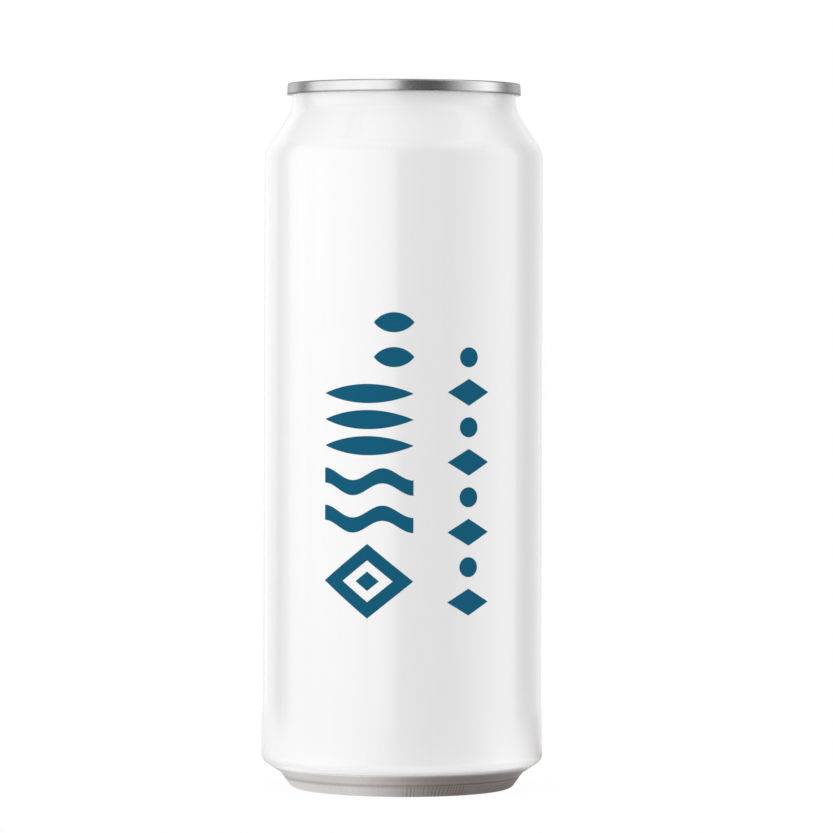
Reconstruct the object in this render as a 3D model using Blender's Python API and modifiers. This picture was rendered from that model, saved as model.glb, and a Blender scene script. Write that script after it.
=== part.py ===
"""Tall aluminium drinks can: a white coated body with a necked top and a bare foot, a seamed lid and a stay-on tab.

Metres, +Z up. The origin is the centre of the ring that the can stands on. The lid's opening faces -Y.
"""

import math

import bmesh
import bpy

MM = 0.001
GAP = 0.3 * MM  # clearance between pieces that touch on the real can
TURN_STEPS = 72  # facets round the body and the lid
SMALL_STEPS = 28  # facets round the rivet
MERGE = 0.01 * MM
SHARP_ANGLE = math.radians(32)

# Whole can
CAN_HEIGHT = 166.1 * MM
BODY_RADIUS = 33.1 * MM

# Neck: a shoulder arc, a straight cone and a hollow arc of the same radius
NECK_RADIUS = 26.55 * MM
NECK_ARC = 7.6 * MM
NECK_CONE_DEG = 33.0
NECK_WALL = 0.5 * MM

# Seam that joins the lid to the body, and the lid's levels below its top
SEAM_RADIUS = 27.6 * MM
SEAM_INNER_RADIUS = 26.3 * MM
SEAM_HEIGHT = 2.75 * MM
SEAM_LEAN = 0.12 * MM
SEAM_ROUND = 0.6 * MM
SEAM_FOOT_ROUND = 0.45 * MM
NECK_ARC_BELOW_SEAM = 0.75 * MM
PANEL_DEPTH = 4.1 * MM
COUNTERSINK_DEPTH = 6.45 * MM
COUNTERSINK_ROUND = 0.7 * MM
PANEL_RADIUS = 22.4 * MM
PANEL_EDGE_ROUND = 0.5 * MM
PANEL_WALL_LEAN = 0.25 * MM
LID_FLOOR = 0.8 * MM

# Base: a slight flare, a rounded corner, a cone, a hollow, a creased band and the bead that the can stands on
FLARE = 0.1 * MM
FLARE_HEIGHTS = (24.0 * MM, 12.0 * MM)
CORNER_ROUND = 2.7 * MM
CORNER_HEIGHT = 8.15 * MM
BASE_CONE_DEG = 57.0
BASE_CONE_LENGTH = 3.3 * MM
BASE_HOLLOW_ROUND = 3.8 * MM
BASE_HOLLOW_END_DEG = 44.0
CREASE_HEIGHT = 2.72 * MM
CREASE_HALF_WIDTH = 0.3 * MM
CREASE_DEPTH = 0.14 * MM
BEAD_ROUND = 2.05 * MM
BEAD_START_DEG = 36.0
FOOT_OUTER_RADIUS = 24.95 * MM
FOOT_INNER_RADIUS = 24.15 * MM
FOOT_INNER_ROUND = 1.2 * MM
LEG_LEAN = 0.2 * MM
DOME_EDGE_HEIGHT = 3.0 * MM
DOME_HEIGHT = 10.4 * MM
COATING_EDGE = 5.65 * MM

# Sunken field, tear line and finger well of the lid
FIELD_DEPTH = 0.45 * MM
FIELD_FRONT = (-4.2 * MM, 15.6 * MM)  # centre along Y, radius
FIELD_REAR = (9.6 * MM, 9.4 * MM)
TEAR_CENTRE_Y = -9.9 * MM
TEAR_HALF_SIZE = (10.4 * MM, 7.3 * MM)
TEAR_START_DEG = 75.0
TEAR_END_DEG = 400.0
TEAR_TUBE = 0.3 * MM
TEAR_DEPTH = 0.2 * MM
WELL_CENTRE_Y = 14.4 * MM
WELL_HALF_SIZE = (6.6 * MM, 3.7 * MM)
WELL_DEPTH = 0.6 * MM

# Rivet
RIVET_STEM_RADIUS = 1.5 * MM
RIVET_HEAD_RADIUS = 2.6 * MM
RIVET_HEAD_THICKNESS = 0.4 * MM
RIVET_HEAD_ROUND = 0.2 * MM

# Tab
TAB_THICKNESS = 1.3 * MM
TAB_NOSE = (-0.4 * MM, 7.2 * MM)
TAB_HEEL = (9.3 * MM, 7.9 * MM)
TAB_EDGE_ROUND = 0.45 * MM
TAB_HOLE_CENTRE_Y = 10.6 * MM
TAB_HOLE_HALF_SIZE = (5.3 * MM, 3.8 * MM)
TAB_HOLE_SQUARENESS = 2.6
TAB_WEB_RADIUS = 5.0 * MM
TAB_WEB_SINK = 0.65 * MM
TAB_RIVET_HOLE = RIVET_STEM_RADIUS + GAP

WHITE_COAT = ((0.90, 0.90, 0.905), 0.32, 0.0)
BARE_FOOT = ((0.62, 0.60, 0.59), 0.38, 1.0)
BRIGHT_LID = ((0.80, 0.80, 0.81), 0.24, 1.0)
BRIGHT_TAB = ((0.83, 0.83, 0.84), 0.22, 1.0)

# Levels worked out from the sizes above
SEAM_BOTTOM = CAN_HEIGHT - SEAM_HEIGHT
PANEL_Z = CAN_HEIGHT - PANEL_DEPTH
FIELD_Z = PANEL_Z - FIELD_DEPTH
COUNTERSINK_Z = CAN_HEIGHT - COUNTERSINK_DEPTH
LID_BOTTOM = COUNTERSINK_Z - LID_FLOOR
SKIRT_RADIUS = NECK_RADIUS - NECK_WALL - GAP
TAB_BOTTOM = FIELD_Z + GAP
TAB_TOP = TAB_BOTTOM + TAB_THICKNESS
TAB_WEB_TOP = TAB_TOP - TAB_WEB_SINK


def clear_scene():
    for obj in list(bpy.data.objects):
        bpy.data.objects.remove(obj, do_unlink=True)


def new_collection(name):
    made = bpy.data.collections.new(name)
    bpy.context.scene.collection.children.link(made)
    return made


def metal(name, look):
    colour, roughness, metallic = look
    made = bpy.data.materials.new(name)
    made.use_nodes = True
    shader = made.node_tree.nodes["Principled BSDF"]
    shader.inputs["Base Color"].default_value = (*colour, 1.0)
    shader.inputs["Roughness"].default_value = roughness
    shader.inputs["Metallic"].default_value = metallic
    return made


def arc(centre, radius, start_deg, end_deg, steps):
    """Points on a circle in the profile's plane, as (distance from the axis, height)."""
    points = []
    for i in range(steps + 1):
        angle = math.radians(start_deg + (end_deg - start_deg) * i / steps)
        points.append((centre[0] + radius * math.cos(angle), centre[1] + radius * math.sin(angle)))
    return points


def body_profile():
    """Half section of the body, from the floor of its mouth down the outside to the top of the dome."""
    lean = math.radians(NECK_CONE_DEG)
    neck_top = SEAM_BOTTOM - NECK_ARC_BELOW_SEAM
    drop_in_arcs = 2 * NECK_ARC * math.sin(lean)
    width_in_arcs = 2 * NECK_ARC * (1 - math.cos(lean))
    drop_in_cone = (BODY_RADIUS - NECK_RADIUS - width_in_arcs) / math.tan(lean)
    shoulder = neck_top - drop_in_arcs - drop_in_cone
    mouth_floor = LID_BOTTOM - GAP
    mouth_rim = SEAM_BOTTOM - GAP
    mouth_radius = NECK_RADIUS - NECK_WALL
    points = [(0, mouth_floor), (mouth_radius, mouth_floor), (mouth_radius, mouth_rim), (NECK_RADIUS, mouth_rim)]
    points += arc((NECK_RADIUS + NECK_ARC, neck_top), NECK_ARC, 180, 180 + NECK_CONE_DEG, 5)
    points += arc((BODY_RADIUS - NECK_ARC, shoulder), NECK_ARC, NECK_CONE_DEG, 0, 5)
    return points + base_profile()


def base_profile():
    """The lower end of the body's half section, from the flare to the top of the dome."""
    corner_radius = BODY_RADIUS + FLARE
    points = [(BODY_RADIUS, FLARE_HEIGHTS[0]), (corner_radius, FLARE_HEIGHTS[1])]
    points += arc((corner_radius - CORNER_ROUND, CORNER_HEIGHT), CORNER_ROUND, 0, -BASE_CONE_DEG, 5)
    cone = math.radians(BASE_CONE_DEG)
    end = points[-1]
    hollow_start = (end[0] - BASE_CONE_LENGTH * math.sin(cone), end[1] - BASE_CONE_LENGTH * math.cos(cone))
    hollow_centre = (
        hollow_start[0] + BASE_HOLLOW_ROUND * math.cos(cone),
        hollow_start[1] - BASE_HOLLOW_ROUND * math.sin(cone),
    )
    points += arc(hollow_centre, BASE_HOLLOW_ROUND, 180 - BASE_CONE_DEG, 180 - BASE_HOLLOW_END_DEG, 2)
    bead = arc((FOOT_OUTER_RADIUS, BEAD_ROUND), BEAD_ROUND, -BEAD_START_DEG, -90, 4)
    points += crease(points[-1], bead[0]) + bead
    foot_inner = arc((FOOT_INNER_RADIUS, FOOT_INNER_ROUND), FOOT_INNER_ROUND, 270, 180, 3)
    return points + foot_inner + dome(foot_inner[-1][0] - LEG_LEAN)


def crease(above, below):
    """The small notch that runs round the band between two points of the profile."""
    slope = (above[0] - below[0]) / (above[1] - below[1])
    points = []
    for rise, depth in ((CREASE_HALF_WIDTH, 0), (0, CREASE_DEPTH), (-CREASE_HALF_WIDTH, 0)):
        height = CREASE_HEIGHT + rise
        points.append((below[0] + slope * (height - below[1]) - depth, height))
    return points


def dome(edge_radius):
    """The hollow underside, part of a sphere, from its edge up to the axis."""
    rise = DOME_HEIGHT - DOME_EDGE_HEIGHT
    sphere = (edge_radius**2 + rise**2) / (2 * rise)
    half_angle = math.degrees(math.asin(edge_radius / sphere))
    points = arc((0, DOME_HEIGHT - sphere), sphere, 90 - half_angle, 90, 6)
    points[-1] = (0, DOME_HEIGHT)
    return points


def lid_profile():
    """Half section of the lid, from the middle of its panel over the seam and back under it."""
    panel_edge = (PANEL_RADIUS - PANEL_EDGE_ROUND, PANEL_Z - PANEL_EDGE_ROUND)
    groove_z = COUNTERSINK_Z + COUNTERSINK_ROUND
    groove_centre = (PANEL_RADIUS + PANEL_WALL_LEAN + COUNTERSINK_ROUND, groove_z)
    seam_top = CAN_HEIGHT - SEAM_ROUND
    points = [(0, PANEL_Z)]
    points += arc(panel_edge, PANEL_EDGE_ROUND, 90, 0, 3)
    points += arc(groove_centre, COUNTERSINK_ROUND, 180, 360, 6)
    points += [(SKIRT_RADIUS - NECK_WALL, SEAM_BOTTOM)]
    points += arc((SEAM_INNER_RADIUS + SEAM_ROUND, seam_top), SEAM_ROUND, 180, 90, 3)
    points += arc((SEAM_RADIUS - SEAM_LEAN - SEAM_ROUND, seam_top), SEAM_ROUND, 90, 0, 3)
    foot = (SEAM_RADIUS - SEAM_FOOT_ROUND, SEAM_BOTTOM + SEAM_FOOT_ROUND)
    points += arc(foot, SEAM_FOOT_ROUND, 10, -90, 3)
    points += [(SKIRT_RADIUS, SEAM_BOTTOM), (SKIRT_RADIUS, LID_BOTTOM), (0, LID_BOTTOM)]
    return points


def rivet_profile():
    head_bottom = TAB_WEB_TOP + GAP
    head_top = head_bottom + RIVET_HEAD_THICKNESS
    points = [(0, head_top)]
    points += arc((RIVET_HEAD_RADIUS - RIVET_HEAD_ROUND, head_top - RIVET_HEAD_ROUND), RIVET_HEAD_ROUND, 90, 0, 2)
    points += [(RIVET_HEAD_RADIUS, head_bottom), (RIVET_STEM_RADIUS, head_bottom)]
    root = FIELD_Z - FIELD_DEPTH
    return points + [(RIVET_STEM_RADIUS, root), (0, root)]


def egg(front, rear, steps):
    """Outline round two circles on the Y axis, each (centre, radius), joined by their outer tangents."""
    lean = math.degrees(math.asin((front[1] - rear[1]) / (rear[0] - front[0])))
    rear_arc = arc((0, rear[0]), rear[1], lean, 180 - lean, steps)
    front_arc = arc((0, front[0]), front[1], 180 - lean, 360 + lean, steps)
    return rear_arc + front_arc


def rounded(centre_y, half_size, squareness, steps):
    """Closed outline between an ellipse (squareness 2) and a rectangle (a high squareness)."""
    points = []
    for i in range(steps):
        angle = math.tau * i / steps
        across, along = math.cos(angle), math.sin(angle)
        x = math.copysign(abs(across) ** (2 / squareness), across) * half_size[0]
        y = math.copysign(abs(along) ** (2 / squareness), along) * half_size[1]
        points.append((x, centre_y + y))
    return points


def curve_object(name, collection, points, cyclic, dimensions):
    curve = bpy.data.curves.new(name, "CURVE")
    curve.dimensions = dimensions
    spline = curve.splines.new("POLY")
    spline.points.add(len(points) - 1)
    for point, place in zip(spline.points, points):
        point.co = (*place, 1.0) if len(place) == 3 else (*place, 0.0, 1.0)
    spline.use_cyclic_u = cyclic
    obj = bpy.data.objects.new(name, curve)
    collection.objects.link(obj)
    return obj


def mesh_from(source, weld=MERGE):
    """Replaces an object by the mesh that it evaluates to, with its loose caps welded on."""
    graph = bpy.context.evaluated_depsgraph_get()
    mesh = bpy.data.meshes.new_from_object(source.evaluated_get(graph))
    work = bmesh.new()
    work.from_mesh(mesh)
    bmesh.ops.remove_doubles(work, verts=work.verts, dist=weld)
    bmesh.ops.recalc_face_normals(work, faces=work.faces)
    if work.calc_volume(signed=True) < 0:
        bmesh.ops.reverse_faces(work, faces=work.faces)
    work.to_mesh(mesh)
    work.free()
    name, collection, place = source.name, source.users_collection[0], source.matrix_world.copy()
    bpy.data.objects.remove(source)
    mesh.name = name
    obj = bpy.data.objects.new(name, mesh)
    collection.objects.link(obj)
    obj.matrix_world = place
    return obj


def turned(name, collection, profile, steps):
    """A solid turned round Z from a half section that runs down its outer side."""
    mesh = bpy.data.meshes.new(name)
    mesh.from_pydata([(r, 0, z) for r, z in profile], [(i, i + 1) for i in range(len(profile) - 1)], [])
    obj = bpy.data.objects.new(name, mesh)
    collection.objects.link(obj)
    screw = obj.modifiers.new("turn", "SCREW")
    screw.steps = steps
    screw.render_steps = steps
    screw.use_merge_vertices = True
    screw.merge_threshold = MERGE
    return mesh_from(obj)


def plate(name, collection, outline, bottom, top):
    """A flat plate with this outline between two heights."""
    obj = curve_object(name, collection, outline, True, "2D")
    obj.data.fill_mode = "BOTH"
    obj.data.extrude = (top - bottom) / 2
    obj.location.z = (top + bottom) / 2
    bpy.context.view_layer.update()
    return mesh_from(obj)


def tube(name, collection, route, radius):
    obj = curve_object(name, collection, route, False, "3D")
    obj.data.bevel_depth = radius
    obj.data.bevel_resolution = 2
    obj.data.use_fill_caps = True
    return mesh_from(obj)


def combine(obj, other, operation):
    step = obj.modifiers.new(other.name, "BOOLEAN")
    step.operation = operation
    step.solver = "EXACT"
    step.object = other
    other.hide_render = True
    other.display_type = "WIRE"


def finish_mesh(obj, *materials):
    mesh = obj.data
    mesh.shade_smooth()
    mesh.set_sharp_from_angle(angle=SHARP_ANGLE)
    for material in materials:
        mesh.materials.append(material)


def make_body(parts):
    body = turned("can_body", parts, body_profile(), TURN_STEPS)
    finish_mesh(body, metal("white_coat", WHITE_COAT), metal("bare_foot", BARE_FOOT))
    for face in body.data.polygons:
        face.material_index = 1 if face.center.z < COATING_EDGE else 0
    return body


def tear_route():
    """Open loop of the tear line; the stretch that it leaves out is the hinge of the opening."""
    steps = 44
    height = FIELD_Z + TEAR_TUBE - TEAR_DEPTH
    route = []
    for i in range(steps + 1):
        angle = math.radians(TEAR_START_DEG + (TEAR_END_DEG - TEAR_START_DEG) * i / steps)
        x = TEAR_HALF_SIZE[0] * math.cos(angle)
        y = TEAR_CENTRE_Y + TEAR_HALF_SIZE[1] * math.sin(angle)
        route.append((x, y, height))
    return route


def make_well_cutter(cutters):
    """A flattened ball whose lowest part dips below the sunken field."""
    mesh = bpy.data.meshes.new("finger_well")
    work = bmesh.new()
    bmesh.ops.create_uvsphere(work, u_segments=32, v_segments=20, radius=1.0)
    ball_half_height = 2 * WELL_DEPTH
    reach = 1 / math.sqrt(1 - ((ball_half_height - WELL_DEPTH) / ball_half_height) ** 2)
    size = (WELL_HALF_SIZE[0] * reach, WELL_HALF_SIZE[1] * reach, ball_half_height)
    bmesh.ops.scale(work, vec=size, verts=work.verts)
    work.to_mesh(mesh)
    work.free()
    obj = bpy.data.objects.new("finger_well", mesh)
    obj.location = (0, WELL_CENTRE_Y, FIELD_Z + ball_half_height - WELL_DEPTH)
    cutters.objects.link(obj)
    return obj


def make_lid(parts, cutters):
    lid = turned("can_end", parts, lid_profile(), TURN_STEPS)
    field = plate("sunken_field", cutters, egg(FIELD_FRONT, FIELD_REAR, 16), FIELD_Z, PANEL_Z + GAP)
    combine(lid, field, "DIFFERENCE")
    combine(lid, make_well_cutter(cutters), "DIFFERENCE")
    combine(lid, tube("tear_line", cutters, tear_route(), TEAR_TUBE), "DIFFERENCE")
    combine(lid, turned("rivet", cutters, rivet_profile(), SMALL_STEPS), "UNION")
    lid = mesh_from(lid)
    finish_mesh(lid, metal("bright_lid", BRIGHT_LID))
    return lid


def make_tab(parts, cutters):
    tab = plate("pull_tab", parts, egg(TAB_NOSE, TAB_HEEL, 14), TAB_BOTTOM, TAB_TOP)
    edge = tab.modifiers.new("rolled_edge", "BEVEL")
    edge.width = TAB_EDGE_ROUND
    edge.segments = 3
    edge.limit_method = "ANGLE"
    edge.angle_limit = math.radians(60)
    above = TAB_TOP + GAP
    below = TAB_BOTTOM - GAP
    hole = rounded(TAB_HOLE_CENTRE_Y, TAB_HOLE_HALF_SIZE, TAB_HOLE_SQUARENESS, 28)
    web = rounded(0, (TAB_WEB_RADIUS, TAB_WEB_RADIUS), 2, 28)
    rivet_hole = rounded(0, (TAB_RIVET_HOLE, TAB_RIVET_HOLE), 2, 20)
    combine(tab, plate("finger_hole", cutters, hole, below, above), "DIFFERENCE")
    combine(tab, plate("web_pocket", cutters, web, TAB_WEB_TOP, above), "DIFFERENCE")
    combine(tab, plate("rivet_hole", cutters, rivet_hole, below, above), "DIFFERENCE")
    tab = mesh_from(tab)
    finish_mesh(tab, metal("bright_tab", BRIGHT_TAB))
    return tab


def main():
    clear_scene()
    parts = new_collection("drinks_can")
    cutters = new_collection("cutters")
    make_body(parts)
    make_lid(parts, cutters)
    make_tab(parts, cutters)


main()
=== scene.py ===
"""Looks of the tall drinks can: coated wall with plain printed shapes, bare base, seamed lid and tab.

Metres, +Z up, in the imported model's frame. The lid's opening faces -Y, towards the camera.
"""

import math

import bpy
import numpy as np
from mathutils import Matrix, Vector
from mathutils.geometry import delaunay_2d_cdt


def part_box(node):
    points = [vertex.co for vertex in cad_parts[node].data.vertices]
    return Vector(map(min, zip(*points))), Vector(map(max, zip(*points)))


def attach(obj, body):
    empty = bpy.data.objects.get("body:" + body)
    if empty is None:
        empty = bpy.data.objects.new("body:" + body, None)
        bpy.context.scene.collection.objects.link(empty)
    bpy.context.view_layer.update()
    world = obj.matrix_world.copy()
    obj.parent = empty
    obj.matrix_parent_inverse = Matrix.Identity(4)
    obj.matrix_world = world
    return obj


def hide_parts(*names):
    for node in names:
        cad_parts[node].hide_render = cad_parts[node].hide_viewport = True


MM = 0.001

# Level and sizes that the pieces share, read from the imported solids
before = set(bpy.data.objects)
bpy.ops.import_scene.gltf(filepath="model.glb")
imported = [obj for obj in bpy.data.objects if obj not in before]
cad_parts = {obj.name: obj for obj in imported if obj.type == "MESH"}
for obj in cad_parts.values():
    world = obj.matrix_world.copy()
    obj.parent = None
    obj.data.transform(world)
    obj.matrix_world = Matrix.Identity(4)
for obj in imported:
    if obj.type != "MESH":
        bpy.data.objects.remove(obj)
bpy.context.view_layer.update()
CORNER_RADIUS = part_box("can_body")[1].x
CAN_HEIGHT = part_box("can_end")[1].z
SEAM_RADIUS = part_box("can_end")[1].x
TAB_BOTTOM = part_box("pull_tab")[0].z
TAB_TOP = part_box("pull_tab")[1].z

# Body, as the solids have it
BODY_RADIUS = 33.1 * MM
NECK_RADIUS = 26.55 * MM
NECK_ARC = 7.6 * MM
NECK_CONE_DEG = 33.0
FLARE_HEIGHTS = (24.0 * MM, 12.0 * MM)
CORNER_ROUND = 2.7 * MM
CORNER_HEIGHT = 8.15 * MM
BASE_CONE_DEG = 57.0
BASE_CONE_LENGTH = 3.3 * MM
BASE_HOLLOW_ROUND = 3.8 * MM
BASE_HOLLOW_END_DEG = 44.0
CREASE_HEIGHT = 2.72 * MM
CREASE_HALF_WIDTH = 0.4 * MM
CREASE_DEPTH = 0.09 * MM
BEAD_ROUND = 2.05 * MM
BEAD_START_DEG = 36.0
FOOT_OUTER_RADIUS = 24.95 * MM
FOOT_INNER_RADIUS = 24.15 * MM
FOOT_INNER_ROUND = 1.2 * MM
LEG_LEAN = 0.2 * MM
DOME_EDGE_HEIGHT = 3.0 * MM
DOME_HEIGHT = 10.4 * MM
COATING_EDGE = 5.3 * MM
COATING_EDGE_GAP = 0.05 * MM  # the corner's points nearer to the coat's edge than this make way for it
INNER_JOIN_HEIGHT = 12.0 * MM  # where the coated wall and the bare base meet, inside the can
INNER_GAP = 0.3 * MM  # between the lid's skirt and the wall's hidden inner side
RIM_OVERLAP = 0.1 * MM  # how far the wall reaches up into the seam
BODY_STEPS = 360
BASE_STEPS = 1080

# Fine puckers that the drawing tool leaves in the foot band. They are sine waves round the can, each
# (count, phase), and slower ones gather them in groups
PUCKER_WAVES = ((197, 0.9), (173, 2.1), (229, 4.4))
PUCKER_GROUPS = ((3, 5.39), (5, 1.66))
PUCKER_DEPTH = 0.05 * MM
PUCKER_LEAST_SHARE = 0.1
PUCKER_GROUP_SHARE = 1.6
PUCKER_TOP = 2.55 * MM
PUCKER_TOP_FADE = 0.5 * MM
PUCKER_BOTTOM = 0.1 * MM
PUCKER_BOTTOM_FADE = 0.6 * MM

# Lid, as the solids have it
SEAM_INNER_RADIUS = 26.3 * MM
SEAM_HEIGHT = 2.75 * MM
SEAM_LEAN = 0.12 * MM
SEAM_ROUND = 0.45 * MM
SEAM_FOOT_ROUND = 0.32 * MM
NECK_ARC_BELOW_SEAM = 0.75 * MM
PANEL_DEPTH = 4.1 * MM
COUNTERSINK_DEPTH = 6.45 * MM
COUNTERSINK_ROUND = 0.7 * MM
PANEL_RADIUS = 22.4 * MM
PANEL_EDGE_ROUND = 0.5 * MM
PANEL_WALL_LEAN = 0.25 * MM
LID_FLOOR = 0.8 * MM
SKIRT_RADIUS = 25.7 * MM
FIELD_DEPTH = 0.45 * MM
RIVET_STEM_RADIUS = 1.5 * MM
RIVET_HEAD_RADIUS = 2.6 * MM
RIVET_HEAD_RISE = 0.7 * MM
RIVET_HEAD_GAP = 0.02 * MM
RIVET_RIM_ROUND = 0.3 * MM
RIVET_ROOT = 0.3 * MM
# Radius, and depth below the head's top
RIVET_DISH_MM = ((0, 0.22), (0.8, 0.22), (1.2, 0.12), (1.6, 0.02), (1.9, 0))
RIVET_STEPS = 64
TAB_WEB_SINK = 0.65 * MM
LID_STEPS = 288

SEAM_BOTTOM = CAN_HEIGHT - SEAM_HEIGHT
PANEL_Z = CAN_HEIGHT - PANEL_DEPTH
FIELD_Z = PANEL_Z - FIELD_DEPTH
COUNTERSINK_Z = CAN_HEIGHT - COUNTERSINK_DEPTH
LID_BOTTOM = COUNTERSINK_Z - LID_FLOOR
TAB_WEB_TOP = TAB_TOP - TAB_WEB_SINK

# Relief of the lid's panel and of the tab, in millimetres on the panel's plane
FIELD_FRONT_MM = (-4.2, 15.6)
FIELD_REAR_MM = (9.6, 9.4)
FIELD_EDGE_MM = 1.1
TEAR_CENTRE_MM = (0.0, -9.9)
TEAR_HALF_MM = (10.4, 7.3)
TEAR_OPEN_DEG = (36.0, 79.0)  # the hinge of the opening, which the tear line leaves out
TEAR_FADE_DEG = 8
TEAR_DEPTH_MM = 0.16
TEAR_WIDTH_MM = 0.26
INNER_TEAR_OFFSET_MM = -1.0
INNER_TEAR_DEPTH_MM = 0.07
OPENING_BEAD_OFFSET_MM = -2.9
OPENING_BEAD_HEIGHT_MM = 0.26
OPENING_BEAD_WIDTH_MM = 0.75
OPENING_BEAD_OPEN_DEG = (5, 175)
OPENING_BEAD_FADE_DEG = 20
WELL_CENTRE_MM = (0.0, 14.4)
WELL_HALF_MM = (6.9, 4.0)
WELL_DEPTH_MM = 0.6
WELL_STEEPNESS = 0.8
DIMPLE_CENTRES_MM = ((-11.2, 3.2), (11.2, 3.2))
DIMPLE_RADIUS_MM = 1.15
DIMPLE_HEIGHT_MM = 0.3
TAB_NOSE_MM = (-0.4, 7.2)
TAB_HEEL_MM = (9.3, 7.9)
TAB_HOLE_CENTRE_MM = (0.0, 10.6)
TAB_HOLE_HALF_MM = (5.3, 3.8)
TAB_HOLE_SQUARENESS = 2.6
TAB_CURL_MM = 0.65
TAB_HOLLOW_MM = 0.12
TAB_WEB_RADIUS_MM = 5.0
TAB_WEB_EDGE_MM = 0.8
TAB_SLOT_RADIUS_MM = 3.55
TAB_SLOT_WIDTH_MM = 0.28
TAB_SLOT_DEPTH_MM = 0.4
TAB_SLOT_OPEN_DEG = (230.0, 310.0)
TAB_SLOT_FADE_DEG = 10
RIVET_HOLE_RADIUS_MM = 1.8

# In the materials below, colours are linear, and PER_MM is a noise's cells in a millimetre, across and along
# where it has two numbers. A ROUGHNESS with two numbers runs from one to the other

# White coat
COAT_WHITE = (0.877, 0.872, 0.875)
COAT_WHITE_DARK = (0.867, 0.863, 0.866)
COAT_STREAKS_PER_MM = (1.6, 0.02)
COAT_STREAK_SHARE = 0.3
COAT_PEEL_PER_MM = 0.9
COAT_PEEL_DEPTH = 0.003 * MM
COAT_ROUGHNESS = (0.2, 0.24)
COAT_THIN = (0.55, 0.535, 0.53)
COAT_THIN_MM = 0.4
VARNISH_ROUGHNESS = 0.12
VARNISH_IOR = 1.6

# Bare metal of the foot
BASE_METAL = (0.56, 0.53, 0.513)
BASE_METAL_DARK = (0.49, 0.462, 0.446)
BASE_STREAKS_PER_MM = (5.0, 0.25)
BASE_STREAK_DEPTH = 0.004 * MM
BASE_CLOUDS_PER_MM = 0.25
BASE_ROUGHNESS = (0.36, 0.44)
# The band below the crease is painted a little brighter
BAND_TOP_MM = (CREASE_HEIGHT / MM, CREASE_HEIGHT / MM - 0.5)
BAND_PAINTED_LIFT = 0.08
# Painted shade in the puckers' valleys, where the folds take less light: its share, its colour, and the ranges
# of the waves and groups that place it
PUCKER_PAINTED_SHADE = 0.45
PUCKER_PAINTED_SHADE_COLOUR = (0.2, 0.19, 0.185)
PUCKER_PAINTED_SHADE_WAVE = (-0.6, 1.4)
PUCKER_PAINTED_SHADE_GROUP = (0.3, 1.2)
# Painted shade along the crease: its share, its reach up and down in millimetres, and its colour
CREASE_PAINTED_SHADE = 0.34
CREASE_PAINTED_SHADE_MM = 0.75
CREASE_PAINTED_SHADE_COLOUR = (0.12, 0.11, 0.105)
COAT_DUST = (0.86, 0.86, 0.86)
COAT_DUST_SHARE = 0.5
COAT_DUST_MM = 0.45

# Sheet metal of the lid and the tab
LID_METAL = (0.94, 0.94, 0.942)
LID_ROUGHNESS = 0.27
TAB_METAL = (0.83, 0.83, 0.835)
TAB_ROUGHNESS = 0.2
SHEET_GRAIN_PER_MM = (9.0, 0.3)
SHEET_GRAIN_SHADE = 0.97
SHEET_GRAIN_DEPTH = 0.0006 * MM
SHEET_CLOUDS_PER_MM = 0.35
SHEET_CLOUD_SHARES = (0.95, 1.05)
SHEET_GRAZING_TINT = (0.5, 0.5, 0.5)
# Painted shade on the seam's outer top and lower edges: its share, its colour, and where it lies in millimetres
SEAM_EDGE_PAINTED_SHADE = 0.55
SEAM_EDGE_PAINTED_SHADE_COLOUR = (0.1, 0.1, 0.1)
SEAM_OUTSIDE_MM = (SEAM_RADIUS / MM - 0.9, SEAM_RADIUS / MM - 0.4)
SEAM_TOP_EDGE_MM = (CAN_HEIGHT / MM - 0.4, CAN_HEIGHT / MM - 0.1)
SEAM_LOW_EDGE_MM = (SEAM_BOTTOM / MM + 0.5, SEAM_BOTTOM / MM + 0.2)

# Print: two columns of plain shapes, in millimetres round the wall from its front and up from the foot
INK = (0.009, 0.1, 0.177)
INK_LIGHT = 1.05
INK_MOTTLE_PER_MM = 1.3
INK_ROUGHNESS = (0.55, 0.65)
INK_RISE = 0.03 * MM
INK_SPACING = 0.9
LARGE_COLUMN_U = -8.2
LARGE_SHAPES_V = (50.4, 69.0, 87.6)
LARGE_HALF_MM = (10.7, 8.6)
RING_HOLE_SHARE = 0.56
RING_CORE_SHARE = 0.26
WAVE_RISE = 4.3
WAVE_SWING = 1.4
WAVE_STROKE = 3.5
LEAF_PITCH = 6.0
LEAF_HALF_HEIGHT = 2.2
SMALL_PAIR_U = -2.1
SMALL_PAIR_V = (102.0, 110.0)
SMALL_HALF_MM = (4.7, 2.3)
MARKS_U = 15.8
MARKS_V = (41.5, 106.0)
MARKS_COUNT = 8
MARK_HALF_MM = (5.3, 3.1)
MARK_DISC_RADIUS = 2.3

# Studio
LIGHTS_DISTANCE = 0.95
LIGHTS_HEIGHT = 0.09
LEAST_POWER = 0.01
# Rings of soft strips: elevation, turn from one strip to the next, width, length, and the power in watts at
# these azimuths, in degrees to the right from the camera
LIGHT_RINGS = {
    "wall": (0, 10, 0.166, 1.1, (
        (-180, 0.75), (-170, 0.7), (-160, 0.45), (-150, 0.56), (-130, 0.34), (-120, 0.05), (-110, 0.13),
        (-100, 0.42), (-90, 0.48), (-80, 0.44), (-70, 0.53), (-50, 0.51), (-40, 0.56), (-30, 0.49),
        (-20, 0.55), (-10, 0.43), (0, 0.0), (40, 0.0), (50, 0.14), (80, 0.5), (90, 0.58), (100, 0.52),
        (110, 0.14), (120, 0.05), (130, 0.2), (150, 0.45), (160, 0.45), (170, 0.65),
    )),
    "shoulder": (44, 10, 0.25, 0.44, (
        (-180, 0.1), (-140, 0.1), (-120, 0.06), (-80, 0.11), (-40, 0.115), (-20, 0.145), (0, 0.08),
        (20, 0.02), (40, 0.075), (60, 0.135), (100, 0.14), (120, 0.05), (140, 0.1), (160, 0.1),
    )),
    "crown": (69, 15, 0.2, 0.36, (
        (-180, 0.08), (-120, 0.06), (-60, 0.11), (-30, 0.092), (0, 0.052), (30, 0.036), (60, 0.048),
        (90, 0.095), (120, 0.055), (150, 0.07),
    )),
}
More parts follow.
